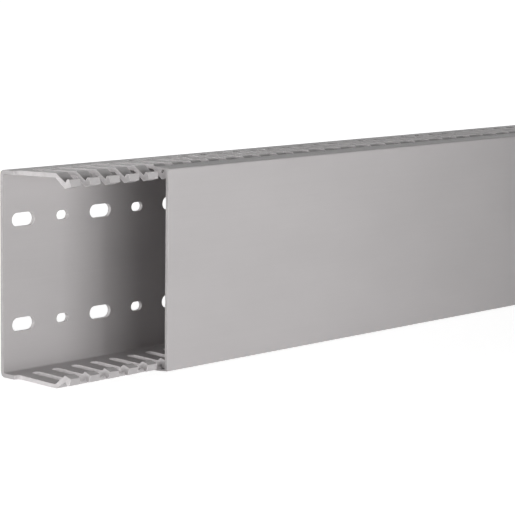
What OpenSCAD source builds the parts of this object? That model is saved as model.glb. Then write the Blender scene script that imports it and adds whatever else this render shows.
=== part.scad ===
// Slotted wire duct: a channel whose two side walls are slit into a row of
// fingers, and a cover that hooks over the fingers' heads and slides along them.
// The section is drawn as [depth from the fixing face, height], and extruded
// along X. The fixing face points to +Y and the cover to -Y.
// Lengths are in millimetres.

/* [Duct] */
// Length of the channel, and of its cover
duct_length = 2000; // [500:50:3000]
// Width of the channel, across the bends of its two side walls
duct_width = 100; // [80:5:150]
// Depth of the closed duct, from the fixing face to the front of the cover
duct_depth = 47; // [40:1:100]
// How far the cover is slid along from the channel's left end
cover_offset = 64; // [0:1:400]

/* [Walls] */
// Thickness of the channel's back and side walls
wall_t = 2; // [1.5:0.1:2.2]
// Thickness of the cover's plate
cover_t = 1.8; // [1.4:0.1:2]
// Thickness of the cover's two side flanges
flange_t = 1; // [0.8:0.1:1]
// How far each side wall leans out, from the slots' roots to its bend
wall_lean = 0.8; // [0:0.1:1]
// How far each of the cover's flanges stands in from the walls' bends, at its front
cover_inset = 1.1; // [0.9:0.1:1.1]
// How far each flange leans out, from its front to its free end
flange_lean = 0.5; // [0.2:0.1:0.6]
// Radius of the channel's two long outer edges
edge_r = 2.5; // [1:0.5:3]
// Radius inside the channel, between its back and its side walls
inner_r = 1; // [0.5:0.5:2]
// Radius of the cover's two long outer edges
cover_edge_r = 0.8; // [0.4:0.2:1]
// Gap between the cover and the fingers' heads
fit_gap = 0.3; // [0.2:0.05:0.4]

/* [Finger slots] */
// Distance from slot to slot along the wall
slot_pitch = 12.5; // [10:2.5:25]
// Width of a slot
slot_w = 5; // [4:0.5:6]
// Depth at which a slot's round end begins
slot_root = 9.5; // [6:0.5:14]
// Width of a slot between the fingers' heads
slot_mouth_w = 5.6; // [5:0.2:7]
// How much each side of a finger's head draws in, from its barb to its peak
head_taper = 0.6; // [0.2:0.1:1.2]

/* [Fixing holes] */
// Distance between holes along the back; large and small holes alternate
hole_pitch = 25; // [25:25:50]
// Distance between the two rows of holes
row_spacing = 50; // [40:5:60]
// Length of a large slotted hole
large_l = 14; // [8:0.5:16]
// Width of a large slotted hole
large_w = 6.5; // [4:0.5:8]
// Length of a small slotted hole
small_l = 7.5; // [5:0.5:10]
// Width of a small slotted hole
small_w = 4.5; // [3:0.5:5]

/* [Hidden] */
$fn = 48;

// The origin is under the middle of the two pieces together
left_x = -(duct_length + cover_offset) / 2;
back_y = duct_depth / 2;
through = 2;

// A finger's head, as [depth past the bend, height]. Its leg rises from the bend to
// the peak, and folds back outwards as a barb. The groove between leg and barb
// takes the cover's hook.
groove = [6.0, 3.9];
barb_back = [7.2, 2.3];
barb_front = [8.6, 2.3];
nose = [9.4, 5.6];
peak = [5.2, 6.8];
inner_bend = [-0.65, wall_t];

// Depth at which a side wall bends inwards to its finger heads
bend_d = duct_depth - cover_t - fit_gap - nose[0];
// The cover's hook lies in the groove, this much further out, up to the barb
hook_tip = groove - [0, 1.5 * fit_gap];
hook_foot = barb_back[0] - fit_gap / 2;
// How far past the bend a flange ends
flange_end = 2.4;

// A section point, from its depth and its height
function at(d, h) = [back_y - d, h];
// A point of a finger's head
function head(p) = at(bend_d + p[0], p[1]);

// Height of a flange's outer side, at a distance past the bend
function flange_h(p) =
  cover_inset - flange_lean * (duct_depth - bend_d - p) / (duct_depth - bend_d - flange_end);

// Lays an outline drawn in the section's plane along X
module along_x(start, length) {
  translate([start, 0, 0]) rotate([90, 0, 90]) linear_extrude(length) children();
}

// An outline's lower half, followed by the same points mirrored to the upper wall
function both_halves(lower) =
  concat(lower, [for (i = [len(lower) - 1 : -1 : 0]) [lower[i][0], duct_width - lower[i][1]]]);

// What a round of radius r takes off a square corner at the origin
module corner_web(r) {
  difference() {
    translate([-r, -through]) square([r + through, r + through]);
    translate([-r, r]) circle(r);
  }
}

// Draws its children at the lower wall and, mirrored, at the upper one
module both_walls() {
  children();
  translate([0, duct_width]) mirror([0, 1]) children();
}

// Back plate, side walls and finger heads, before any slot is cut
module channel_section() {
  inner_round = [for (a = [0 : 15 : 90])
    at(wall_t + inner_r * (1 - sin(a)), wall_lean + wall_t + inner_r * (1 - cos(a)))];
  difference() {
    polygon(both_halves(concat([at(0, wall_lean), at(slot_root, wall_lean), at(bend_d, 0),
                                head(groove), head(barb_back), head(barb_front), head(nose),
                                head(peak), head(inner_bend),
                                at(slot_root, wall_lean + wall_t)], inner_round)));
    both_walls() translate(at(0, wall_lean)) corner_web(edge_r);
  }
}

// One slot seen square to the side walls, as [length, depth]: round at the root,
// straight, then wider between the fingers' heads
module finger_slot() {
  root_y = back_y - slot_root - slot_w / 2;
  flare_y = back_y - bend_d + slot_w;
  head_y = back_y - bend_d - groove[0] / 2;
  slot = slot_w / 2;
  mouth = slot_mouth_w / 2;
  translate([0, root_y]) circle(slot);
  polygon([[-slot, root_y], [-slot, flare_y], [-mouth, head_y], [-mouth, -back_y - through],
           [mouth, -back_y - through], [mouth, head_y], [slot, flare_y], [slot, root_y]]);
}

// Widens one slot towards the heads' peaks, in both walls at once, as [length, height]
module head_sides() {
  mouth = slot_mouth_w / 2;
  wide = mouth + head_taper;
  barb = barb_back[1];
  top = duct_width;
  polygon([[-mouth, barb], [-wide, peak[1]], [-wide, top - peak[1]], [-mouth, top - barb],
           [mouth, top - barb], [wide, top - peak[1]], [wide, peak[1]], [mouth, barb]]);
}

// A hole with round ends through the back, its long side along X
module slotted_hole(l, w) {
  travel = (l - w) / 2;
  translate([0, back_y + through, 0]) rotate([90, 0, 0]) {
    for (end = [-1, 1])
      translate([end * travel, 0, 0]) cylinder(h = wall_t + 2 * through, d = w);
    translate([-travel, -w / 2, 0]) cube([2 * travel, w, wall_t + 2 * through]);
  }
}

// Slotted channel with its two rows of fixing holes
module duct_base() {
  color([0.66, 0.67, 0.68])
    difference() {
      along_x(left_x, duct_length) channel_section();
      for (x = [0 : slot_pitch : duct_length]) {
        translate([left_x + x, 0, -through])
          linear_extrude(duct_width + 2 * through) finger_slot();
        translate([left_x + x, back_y - bend_d - inner_bend[0], 0])
          rotate([90, 0, 0]) linear_extrude(bend_d) head_sides();
      }
      for (side = [-1, 1])
        translate([left_x + hole_pitch / 2, 0, duct_width / 2 + side * row_spacing / 2]) {
          for (x = [0 : 2 * hole_pitch : duct_length - hole_pitch / 2])
            translate([x, 0, 0]) slotted_hole(large_l, large_w);
          for (x = [hole_pitch : 2 * hole_pitch : duct_length - hole_pitch / 2])
            translate([x, 0, 0]) slotted_hole(small_l, small_w);
        }
    }
}

// The cover's plate and flanges, and the hooks that lie in the grooves
module cover_section() {
  back_slope = groove[1] / groove[0];
  end_h = hook_tip[1] - back_slope * (hook_tip[0] - flange_end);
  plate_in = duct_depth - cover_t;
  difference() {
    polygon(both_halves([at(duct_depth, cover_inset),
                         head([flange_end, flange_h(flange_end)]), head([flange_end, end_h]),
                         head(hook_tip), head([hook_foot, flange_h(hook_foot) + flange_t]),
                         at(plate_in, flange_h(plate_in - bend_d) + flange_t)]));
    both_walls()
      translate(at(duct_depth, cover_inset)) mirror([1, 0]) corner_web(cover_edge_r);
  }
}

// Flat cover with its two hooked flanges
module duct_cover() {
  color([0.68, 0.69, 0.70]) along_x(left_x + cover_offset, duct_length) cover_section();
}

duct_base();
duct_cover();
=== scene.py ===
"""Looks of the slotted wire duct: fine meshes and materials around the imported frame.

Sizes are in millimetres as in the part's source, and become metres in the meshes.
A section point is [depth from the fixing face, height above the lower wall's bend].
"""
import math
import bmesh
import bpy
from mathutils import Matrix, Vector


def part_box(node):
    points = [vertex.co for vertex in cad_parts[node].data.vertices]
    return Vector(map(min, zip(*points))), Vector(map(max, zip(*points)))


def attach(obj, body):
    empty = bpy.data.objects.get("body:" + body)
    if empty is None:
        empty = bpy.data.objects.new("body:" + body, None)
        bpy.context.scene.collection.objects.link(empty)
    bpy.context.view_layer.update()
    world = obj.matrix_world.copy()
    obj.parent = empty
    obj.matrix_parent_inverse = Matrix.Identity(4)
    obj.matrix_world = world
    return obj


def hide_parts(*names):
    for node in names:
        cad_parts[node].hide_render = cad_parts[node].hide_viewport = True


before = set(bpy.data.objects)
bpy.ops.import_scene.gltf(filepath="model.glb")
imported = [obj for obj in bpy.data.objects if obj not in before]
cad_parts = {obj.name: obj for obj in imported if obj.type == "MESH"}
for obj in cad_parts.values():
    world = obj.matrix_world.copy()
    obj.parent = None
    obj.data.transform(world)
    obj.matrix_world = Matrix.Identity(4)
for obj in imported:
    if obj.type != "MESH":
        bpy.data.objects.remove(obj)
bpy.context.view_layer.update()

MM = 0.001

# ---------------------------------------------------------------- sizes
channel_low, channel_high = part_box("duct_base")
cover_low, cover_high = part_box("duct_cover")
LEFT_X = channel_low.x / MM
BACK_Y = channel_high.y / MM
LENGTH = (channel_high.x - channel_low.x) / MM
WIDTH = (channel_high.z - channel_low.z) / MM
DEPTH = (channel_high.y - cover_low.y) / MM
COVER_X = cover_low.x / MM

WALL_T = 2.0
COVER_T = 1.8
FLANGE_T = 1.0
WALL_LEAN = 0.8
COVER_INSET = 1.1
FLANGE_LEAN = 0.5
EDGE_R = 2.5
INNER_R = 1.0
COVER_EDGE_R = 0.8
FIT_GAP = 0.3

SLOT_PITCH = 12.5
SLOT_W = 5.0
SLOT_ROOT = 9.5
SLOT_MOUTH_W = 5.6
HEAD_TAPER = 0.6

HOLE_PITCH = 25.0
ROW_SPACING = 50.0
LARGE_HOLE = (14.0, 6.5)
SMALL_HOLE = (7.5, 4.5)

# A finger's head, as [depth past the bend, height]
GROOVE = (6.0, 3.9)
BARB_BACK = (7.2, 2.3)
BARB_FRONT = (8.6, 2.3)
NOSE = (9.4, 5.6)
PEAK = (5.2, 6.8)
INNER_BEND = (-0.65, WALL_T)
FLANGE_END = 2.4
BEND_D = DEPTH - COVER_T - FIT_GAP - NOSE[0]

# Radius on sharp edges, and on the cover's two dressed ends. An edge counts as sharp
# from SHARP_ANGLE degrees between its faces.
BEVEL = 0.3
END_BEVEL = 0.6
SHARP_ANGLE = 24

# The channel is made from modules of this length. A cutting tool overshoots by OVERCUT.
MODULE = 2 * HOLE_PITCH
OVERCUT = 2.0

# Numbers of a piece's materials
PLAIN, SAWN, PUNCHED, PUNCHED_EDGE = range(4)


# ---------------------------------------------------------------- sections
def arc(centre, radius, start, end, steps):
    """Points of an arc, from one angle to another in degrees."""
    points = []
    for i in range(steps + 1):
        a = math.radians(start + (end - start) * i / steps)
        points.append((centre[0] + radius * math.cos(a), centre[1] + radius * math.sin(a)))
    return points


def both_halves(lower):
    """An outline's lower half, followed by its mirror image at the upper wall."""
    return lower + [(d, WIDTH - h) for d, h in reversed(lower)]


def head(point):
    """A point of a finger's head, given from the bend."""
    return (BEND_D + point[0], point[1])


def channel_outline():
    """The channel's closed section."""
    inside = WALL_LEAN + WALL_T
    lower = arc((EDGE_R, WALL_LEAN + EDGE_R), EDGE_R, 180, 270, 6)
    lower += [(SLOT_ROOT, WALL_LEAN), (BEND_D, 0)]
    lower += [head(p) for p in (GROOVE, BARB_BACK, BARB_FRONT, NOSE, PEAK, INNER_BEND)]
    lower += [(SLOT_ROOT, inside)]
    lower += arc((WALL_T + INNER_R, inside + INNER_R), INNER_R, 270, 180, 4)
    return both_halves(lower)


def flange_height(past_bend):
    """Height of a flange's outer side."""
    run = DEPTH - BEND_D
    return COVER_INSET - FLANGE_LEAN * (run - past_bend) / (run - FLANGE_END)


def cover_outline():
    """The cover's closed section, with a hook at the foot of each flange."""
    tip = (GROOVE[0], GROOVE[1] - 1.5 * FIT_GAP)
    foot = BARB_BACK[0] - FIT_GAP / 2
    end_height = tip[1] - GROOVE[1] / GROOVE[0] * (tip[0] - FLANGE_END)
    inner = DEPTH - COVER_T
    r = COVER_EDGE_R
    lower = arc((DEPTH - r, COVER_INSET + r), r, 0, -90, 4)
    lower += [head((FLANGE_END, flange_height(FLANGE_END))), head((FLANGE_END, end_height))]
    lower += [head(tip), head((foot, flange_height(foot) + FLANGE_T))]
    lower += [(inner, flange_height(inner - BEND_D) + FLANGE_T)]
    return both_halves(lower)


# ---------------------------------------------------------------- meshes
def prism(outline, place, length):
    """A closed bmesh from an outline. place(u, v, w) gives a point, w runs along."""
    bm = bmesh.new()
    ends = []
    for w in (0.0, length):
        ends.append([bm.verts.new(place(u, v, w)) for u, v in outline])
    bm.faces.new(ends[0])
    bm.faces.new(ends[1])
    n = len(outline)
    for i in range(n):
        j = (i + 1) % n
        bm.faces.new((ends[0][i], ends[0][j], ends[1][j], ends[1][i]))
    bmesh.ops.recalc_face_normals(bm, faces=bm.faces)
    return bm


def section_place(start_x):
    """Lays [depth, height] points out along X from start_x."""
    def place(d, h, w):
        return Vector((start_x + w, BACK_Y - d, h)) * MM
    return place


def plan_place(x, low_z):
    """Lays [x, depth] points out upwards from low_z."""
    def place(u, d, w):
        return Vector((x + u, BACK_Y - d, low_z + w)) * MM
    return place


def front_place(x, depth):
    """Lays [x, height] points out towards the cover from a depth."""
    def place(u, h, w):
        return Vector((x + u, BACK_Y - depth - w, h)) * MM
    return place


def slot_outline():
    """A slot as [length, depth]: round at its root, and wider between the heads."""
    half, mouth = SLOT_W / 2, SLOT_MOUTH_W / 2
    straight_end, wide_start, end = BEND_D - SLOT_W, BEND_D + GROOVE[0] / 2, DEPTH + OVERCUT
    right = [(half, straight_end), (mouth, wide_start), (mouth, end)]
    left = [(-x, d) for x, d in reversed(right)]
    return arc((0, SLOT_ROOT + half), half, 180, 360, 10) + right + left


def head_side_outline():
    """What widens a slot towards the heads' peaks, as [length, height]."""
    mouth, barb = SLOT_MOUTH_W / 2, BARB_BACK[1]
    wide = mouth + HEAD_TAPER
    lower = [(mouth, barb), (wide, PEAK[1])]
    right = lower + [(x, WIDTH - h) for x, h in reversed(lower)]
    return right + [(-x, h) for x, h in reversed(right)]


def hole_outline(length, width):
    """A slotted hole round its own centre."""
    travel = (length - width) / 2
    return arc((travel, 0), width / 2, -90, 90, 10) + arc((-travel, 0), width / 2, 90, 270, 10)


def object_from(bm, name):
    mesh = bpy.data.meshes.new(name)
    bm.to_mesh(mesh)
    bm.free()
    obj = bpy.data.objects.new(name, mesh)
    bpy.context.scene.collection.objects.link(obj)
    return obj


def joined(parts):
    """Several bmeshes as one."""
    whole = bmesh.new()
    for part in parts:
        mesh = bpy.data.meshes.new("part")
        part.to_mesh(mesh)
        part.free()
        whole.from_mesh(mesh)
        bpy.data.meshes.remove(mesh)
    return whole


def cut(obj, tools):
    """Takes each tool off obj, in turn, and applies the result to its mesh."""
    helpers = [object_from(tool, "tool") for tool in tools]
    for helper in helpers:
        modifier = obj.modifiers.new("cut", "BOOLEAN")
        modifier.operation = "DIFFERENCE"
        modifier.solver = "EXACT"
        modifier.object = helper
    evaluated = obj.evaluated_get(bpy.context.evaluated_depsgraph_get())
    mesh = bpy.data.meshes.new_from_object(evaluated)
    obj.modifiers.clear()
    obj.data = mesh
    for helper in helpers:
        bpy.data.objects.remove(helper)


def channel_module():
    """Two hole pitches of the channel, with its slots and holes."""
    obj = object_from(prism(channel_outline(), section_place(0), MODULE), "module")
    slots, sides, holes = [], [], []
    for i in range(round(MODULE / SLOT_PITCH) + 1):
        x = i * SLOT_PITCH
        slots.append(prism(slot_outline(), plan_place(x, -OVERCUT), WIDTH + 2 * OVERCUT))
        sides.append(prism(head_side_outline(), front_place(x, BEND_D + INNER_BEND[0]), DEPTH))
    for row in (-0.5, 0.5):
        z = WIDTH / 2 + row * ROW_SPACING
        for x, size in ((HOLE_PITCH / 2, LARGE_HOLE), (1.5 * HOLE_PITCH, SMALL_HOLE)):
            outline = [(u, z + v) for u, v in hole_outline(*size)]
            holes.append(prism(outline, front_place(x, -OVERCUT), WALL_T + 2 * OVERCUT))
    cut(obj, [joined(slots), joined(sides), joined(holes)])
    return obj


def channel_mesh():
    """Modules set end to end, with end faces only at the duct's own ends."""
    module = channel_module()
    count = round(LENGTH / MODULE)
    whole = bmesh.new()
    for i in range(count):
        part = bmesh.new()
        part.from_mesh(module.data)
        ends = []
        for face in part.faces:
            if abs(face.normal.x) < 0.999:
                continue
            x = face.calc_center_median().x / MM
            at_left, at_right = x < 1e-3, x > MODULE - 1e-3
            if (at_left and i > 0) or (at_right and i < count - 1):
                ends.append(face)
        bmesh.ops.delete(part, geom=ends, context="FACES")
        bmesh.ops.translate(part, verts=part.verts,
                            vec=Vector((LEFT_X + i * MODULE, 0, 0)) * MM)
        mesh = bpy.data.meshes.new("part")
        part.to_mesh(mesh)
        part.free()
        whole.from_mesh(mesh)
        bpy.data.meshes.remove(mesh)
    bpy.data.objects.remove(module)
    bmesh.ops.remove_doubles(whole, verts=whole.verts, dist=1e-6)
    return whole


def mark_sawn_faces(bm, start_x):
    """Gives a piece's two ends their material number."""
    for face in bm.faces:
        x = face.calc_center_median().x / MM
        if min(abs(x - start_x), abs(x - start_x - LENGTH)) < 0.01:
            face.material_index = SAWN


def mark_punched_faces(bm):
    """Gives the walls of the channel's slots and holes their material number."""
    for face in bm.faces:
        if face.material_index == SAWN:
            continue
        centre = face.calc_center_median() / MM
        d, h = BACK_Y - centre.y, min(centre.z, WIDTH - centre.z)
        n = face.normal
        beside_slot = abs(n.x) > 0.3 and abs(n.z) < 0.4
        slot_root = abs(n.z) < 0.01 and SLOT_ROOT - 1 < d < SLOT_ROOT + SLOT_W
        in_hole = d < WALL_T and abs(n.y) < 0.5 and h > WALL_LEAN + EDGE_R
        if beside_slot or slot_root or in_hole:
            face.material_index = PUNCHED


def is_sharp(edge):
    return len(edge.link_faces) == 2 and edge.calc_face_angle() > math.radians(SHARP_ANGLE)


def round_edges(bm, edges, width, segments=2):
    """Rounds these edges. Beside a punched face the round gets a lighter colour: whitening,
    and a painted highlight.
    """
    made = bmesh.ops.bevel(bm, geom=edges, offset=width * MM, offset_type="OFFSET",
                           segments=segments, profile=0.5, affect="EDGES", clamp_overlap=True,
                           material=PLAIN)
    rounds = set(made["faces"])
    for _ in range(segments):
        beside = [f for f in rounds if f.material_index != PUNCHED_EDGE
                  and any(g.material_index in (PUNCHED, PUNCHED_EDGE)
                          for e in f.edges for g in e.link_faces)]
        for face in beside:
            face.material_index = PUNCHED_EDGE


def shade(obj):
    """Smooth over the rounds, and flat over the flat stretches."""
    for polygon in obj.data.polygons:
        polygon.use_smooth = True
    normals = obj.modifiers.new("normals", "WEIGHTED_NORMAL")
    normals.keep_sharp = True


# ---------------------------------------------------------------- materials
WARMTH = (1.025, 0.985, 0.99)
CHANNEL_LEVEL = 0.48
COVER_LEVEL = 0.47
SAWN_LEVEL = 0.5
PUNCHED_LEVEL = 0.66
# The rounds beside punched faces are lighter still: whitening, and a painted highlight along
# the edges.
PUNCHED_EDGE_WHITENING_AND_HIGHLIGHT_LEVEL = 0.85
SPECULAR_LEVEL = 0.25


class Nodes:
    """Short names for building a material's node tree."""

    def __init__(self, name):
        self.material = bpy.data.materials.new(name)
        self.material.use_nodes = True
        self.tree = self.material.node_tree
        self.tree.nodes.clear()
        self.output = self.add("ShaderNodeOutputMaterial")
        self.shader = self.add("ShaderNodeBsdfPrincipled")
        self.link(self.shader.outputs[0], self.output.inputs["Surface"])
        self.coordinates = self.add("ShaderNodeTexCoord").outputs["Object"]

    def add(self, kind, **settings):
        node = self.tree.nodes.new(kind)
        for key, value in settings.items():
            setattr(node, key, value)
        return node

    def link(self, source, target):
        self.tree.links.new(source, target)

    def noise(self, scale, detail=3.0, roughness=0.5):
        """Noise over object coordinates in millimetres, scaled along X, Y and Z."""
        mapping = self.add("ShaderNodeMapping")
        mapping.inputs["Scale"].default_value = [s / MM for s in scale]
        texture = self.add("ShaderNodeTexNoise")
        texture.inputs["Scale"].default_value = 1.0
        texture.inputs["Detail"].default_value = detail
        texture.inputs["Roughness"].default_value = roughness
        self.link(self.coordinates, mapping.inputs["Vector"])
        self.link(mapping.outputs[0], texture.inputs["Vector"])
        return texture.outputs["Fac"]

    def spread(self, value, low, high):
        """Maps a noise value's useful range to low..high."""
        node = self.add("ShaderNodeMapRange")
        node.inputs["From Min"].default_value = 0.3
        node.inputs["From Max"].default_value = 0.7
        node.inputs["To Min"].default_value = low
        node.inputs["To Max"].default_value = high
        self.link(value, node.inputs["Value"])
        return node.outputs[0]

    def total(self, first, second, operation="ADD"):
        node = self.add("ShaderNodeMath", operation=operation)
        self.link(first, node.inputs[0])
        self.link(second, node.inputs[1])
        return node.outputs[0]

    def mix(self, factor, first, second):
        node = self.add("ShaderNodeMix", data_type="RGBA")
        self.link(factor, node.inputs["Factor"])
        node.inputs[6].default_value = (*first, 1)
        node.inputs[7].default_value = (*second, 1)
        return node.outputs[2]

    def bump(self, height, depth_mm, before=None):
        node = self.add("ShaderNodeBump")
        node.inputs["Distance"].default_value = depth_mm * MM
        self.link(height, node.inputs["Height"])
        if before is not None:
            self.link(before, node.inputs["Normal"])
        return node.outputs[0]


def grey(level):
    """The duct's slightly warm grey."""
    return tuple(level * t for t in WARMTH)


def extruded_pvc(name, level):
    """Satin grey PVC with die lines along X and a faint mottle."""
    n = Nodes(name)
    lines = n.noise((0.0006, 1.3, 1.3), detail=4)
    mottle = n.noise((0.012, 0.03, 0.03), detail=3)
    grain = n.noise((1.6, 1.6, 1.6), detail=2)
    shade = n.total(n.spread(lines, -0.09, 0.09), n.spread(mottle, 0.2, 0.8))
    n.link(n.mix(shade, grey(level * 0.95), grey(level * 1.05)),
           n.shader.inputs["Base Color"])
    n.link(n.total(n.spread(lines, 0.42, 0.52), n.spread(mottle, -0.03, 0.03)),
           n.shader.inputs["Roughness"])
    fine = n.bump(grain, 0.004)
    n.link(n.bump(lines, 0.010, fine), n.shader.inputs["Normal"])
    n.shader.inputs["Specular IOR Level"].default_value = SPECULAR_LEVEL
    return n.material


def cut_pvc(name, level):
    """PVC whitened and roughened where it was sawn or punched. On the rounds beside punched
    faces its lighter colour is also a painted highlight.
    """
    n = Nodes(name)
    marks = n.noise((0.9, 0.35, 2.6), detail=4, roughness=0.6)
    patches = n.noise((0.25, 0.25, 0.25), detail=3)
    shade = n.total(n.spread(marks, -0.2, 0.2), n.spread(patches, 0.25, 0.75))
    n.link(n.mix(shade, grey(level * 0.86), grey(level * 1.12)),
           n.shader.inputs["Base Color"])
    n.link(n.spread(marks, 0.5, 0.68), n.shader.inputs["Roughness"])
    n.link(n.bump(marks, 0.03), n.shader.inputs["Normal"])
    n.shader.inputs["Specular IOR Level"].default_value = SPECULAR_LEVEL
    return n.material


# ---------------------------------------------------------------- pieces
def build_channel():
    """The finger-walled channel, whitened where it was cut, with a painted highlight on the
    rounds beside the punched faces.
    """
    bm = channel_mesh()
    mark_sawn_faces(bm, LEFT_X)
    mark_punched_faces(bm)
    round_edges(bm, [e for e in bm.edges if is_sharp(e)], BEVEL)
    obj = object_from(bm, "channel_body")
    plain = extruded_pvc("channel_pvc", CHANNEL_LEVEL)
    for material in (plain, SAWN_PVC, PUNCHED_PVC, WHITENING_AND_PAINTED_HIGHLIGHT_EDGE):
        obj.data.materials.append(material)
    shade(obj)
    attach(obj, "channel")
    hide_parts("duct_base")


def build_cover():
    """The cover, with its front edges rounded more at both ends."""
    bm = prism(cover_outline(), section_place(COVER_X), LENGTH)
    mark_sawn_faces(bm, COVER_X)
    front = BACK_Y - DEPTH + COVER_EDGE_R
    ends = [e for e in bm.edges if is_sharp(e)
            and any(f.material_index == SAWN for f in e.link_faces)
            and all(v.co.y / MM < front + 0.01 for v in e.verts)]
    round_edges(bm, ends, END_BEVEL, 4)
    round_edges(bm, [e for e in bm.edges if is_sharp(e)], BEVEL)
    # Where two rounds meet they bulge a little, and the cover keeps its length
    for vert in bm.verts:
        vert.co.x = min(max(vert.co.x, COVER_X * MM), (COVER_X + LENGTH) * MM)
    obj = object_from(bm, "cover_body")
    for material in (extruded_pvc("cover_pvc", COVER_LEVEL), SAWN_PVC):
        obj.data.materials.append(material)
    shade(obj)
    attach(obj, "cover")
    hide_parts("duct_cover")


SAWN_PVC = cut_pvc("sawn_pvc", SAWN_LEVEL)
PUNCHED_PVC = cut_pvc("punched_pvc", PUNCHED_LEVEL)
# The edge material: whitening, plus a painted highlight on the rounds beside the punched
# faces.
WHITENING_AND_PAINTED_HIGHLIGHT_EDGE = cut_pvc("whitening_and_painted_highlight_edge", PUNCHED_EDGE_WHITENING_AND_HIGHLIGHT_LEVEL)
build_channel()
build_cover()


# ---------------------------------------------------------------- stage
def white_to_the_camera(tree, others, target):
    """1 for camera, glossy and transmission rays, and others for the rest."""
    path = tree.nodes.new("ShaderNodeLightPath")
    first = tree.nodes.new("ShaderNodeMath")
    first.operation = "MAXIMUM"
    second = tree.nodes.new("ShaderNodeMath")
    second.operation = "MAXIMUM"
    tree.links.new(path.outputs["Is Camera Ray"], first.inputs[0])
    tree.links.new(path.outputs["Is Glossy Ray"], first.inputs[1])
    tree.links.new(first.outputs[0], second.inputs[0])
    tree.links.new(path.outputs["Is Transmission Ray"], second.inputs[1])
    spread = tree.nodes.new("ShaderNodeMapRange")
    spread.inputs["To Min"].default_value = others
    spread.inputs["To Max"].default_value = target
    tree.links.new(second.outputs[0], spread.inputs["Value"])
    return spread.outputs[0]


# How much of white the surroundings and the floor give off to the object, and how much of
# the floor's look to the camera is its own glow. Beside the duct the glow is dimmer: painted
# shade.
AMBIENT = 0.05
FLOOR_GLOW = 0.1
FLOOR_WHITENESS = 0.6
PAINTED_SHADE_GLOW_BESIDE_DUCT = 0.88

# Lamps as name, distance along the duct in mm, azimuth, elevation, distance, size and
# power. The table lamp is the light that a bright table sends up through the slots.
LIGHTS = [
    ("key", 0, 20, -2, 0.5, (0.3, 0.1), 1.1),
    ("front", 20, -10, 5, 0.5, (0.3, 0.1), 0.66),
    ("end", 0, -92, 5, 1.0, (0.5, 0.5), 6.6),
    ("rim", 60, -140, 35, 1.4, (0.9, 0.9), 4.7),
    ("table", LENGTH / 2, 0, -90, (WIDTH / 2 - 0.2) * MM, (LENGTH * MM, 0.036), 0.03),
    ("far fill", 2300, -60, 30, 1.4, (0.5, 0.5), 10),
    ("back fill", LENGTH / 2, 180, 1, 1.5, (1.6, 0.1), 12),
]


def glow_with_painted_shade(tree):
    """The glow's strength: white away from the duct, and less beside it, a painted shade along
    the duct under its real shadow.
    """
    place = tree.nodes.new("ShaderNodeTexCoord")
    parts = tree.nodes.new("ShaderNodeSeparateXYZ")
    across = tree.nodes.new("ShaderNodeMath")
    across.operation = "ABSOLUTE"
    strength = tree.nodes.new("ShaderNodeMapRange")
    strength.inputs["From Min"].default_value = 0.1
    strength.inputs["From Max"].default_value = 0.8
    strength.inputs["To Min"].default_value = PAINTED_SHADE_GLOW_BESIDE_DUCT / FLOOR_WHITENESS
    strength.inputs["To Max"].default_value = 1.0 / FLOOR_WHITENESS
    tree.links.new(place.outputs["Object"], parts.inputs[0])
    tree.links.new(parts.outputs["Y"], across.inputs[0])
    tree.links.new(across.outputs[0], strength.inputs["Value"])
    return strength.outputs[0]


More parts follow.
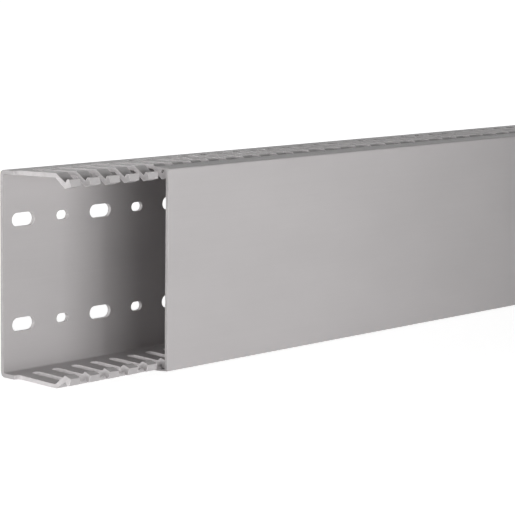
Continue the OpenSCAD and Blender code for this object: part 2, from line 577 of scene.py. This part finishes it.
def build_floor():
    """A white floor with painted shade beside the duct, that still shows the duct's soft
    shadow.
    """
    size = 12.0
    bm = bmesh.new()
    bmesh.ops.create_grid(bm, x_segments=1, y_segments=1, size=size)
    obj = object_from(bm, "floor")
    material = bpy.data.materials.new("floor_white")
    material.use_nodes = True
    tree = material.node_tree
    shader = tree.nodes["Principled BSDF"]
    shader.inputs["Base Color"].default_value = (0.9, 0.9, 0.9, 1)
    shader.inputs["Roughness"].default_value = 0.9
    glow = tree.nodes.new("ShaderNodeEmission")
    tree.links.new(glow_with_painted_shade(tree), glow.inputs["Strength"])
    mix = tree.nodes.new("ShaderNodeMixShader")
    factor = white_to_the_camera(tree, FLOOR_GLOW, FLOOR_WHITENESS)
    tree.links.new(factor, mix.inputs[0])
    tree.links.new(shader.outputs[0], mix.inputs[1])
    tree.links.new(glow.outputs[0], mix.inputs[2])
    tree.links.new(mix.outputs[0], tree.nodes["Material Output"].inputs["Surface"])
    obj.data.materials.append(material)


def build_world():
    """Even surroundings, white to the camera."""
    world = bpy.data.worlds.new("studio")
    bpy.context.scene.world = world
    world.use_nodes = True
    tree = world.node_tree
    background = tree.nodes["Background"]
    background.inputs["Color"].default_value = (1, 1, 1, 1)
    tree.links.new(white_to_the_camera(tree, AMBIENT, 1.0), background.inputs["Strength"])


def studio_light(name, along, azimuth, elevation, distance, size, power):
    """A softbox aimed at a point along the duct, placed as a view is placed."""
    target = Vector((LEFT_X + along, 0, WIDTH / 2)) * MM
    a, e = math.radians(azimuth), math.radians(elevation)
    back = Vector((math.sin(a) * math.cos(e), -math.cos(a) * math.cos(e), math.sin(e)))
    data = bpy.data.lights.new(name, "AREA")
    data.shape = "RECTANGLE"
    data.size, data.size_y = size
    data.energy = power
    obj = bpy.data.objects.new(name, data)
    obj.location = target + back * distance
    obj.rotation_euler = (-back).to_track_quat("-Z", "Y").to_euler()
    bpy.context.scene.collection.objects.link(obj)


build_floor()
build_world()
for light in LIGHTS:
    studio_light(*light)


# ---------------------------------------------------------------- camera
def build_camera():
    """Looks along the duct from its open end, from in front and a little above."""
    lens = 152.0
    place = Vector((LEFT_X - 665.77, BACK_Y - 766.27, 202.98)) * MM
    yaw, pitch, roll = (math.radians(a) for a in (47.797, 8.114, 0.725))
    forward = Vector((math.sin(yaw) * math.cos(pitch), math.cos(yaw) * math.cos(pitch),
                      -math.sin(pitch)))
    level = Vector((math.cos(yaw), -math.sin(yaw), 0))
    above = level.cross(forward)
    right = level * math.cos(roll) + above * math.sin(roll)
    up = above * math.cos(roll) - level * math.sin(roll)
    data = bpy.data.cameras.new("camera")
    data.lens = lens
    data.sensor_width = 36
    data.clip_end = 100
    obj = bpy.data.objects.new("camera", data)
    turn = Matrix((right, up, -forward)).transposed().to_4x4()
    obj.matrix_world = Matrix.Translation(place) @ turn
    bpy.context.scene.collection.objects.link(obj)
    bpy.context.scene.camera = obj


build_camera()
bpy.context.scene.view_settings.view_transform = "Standard"
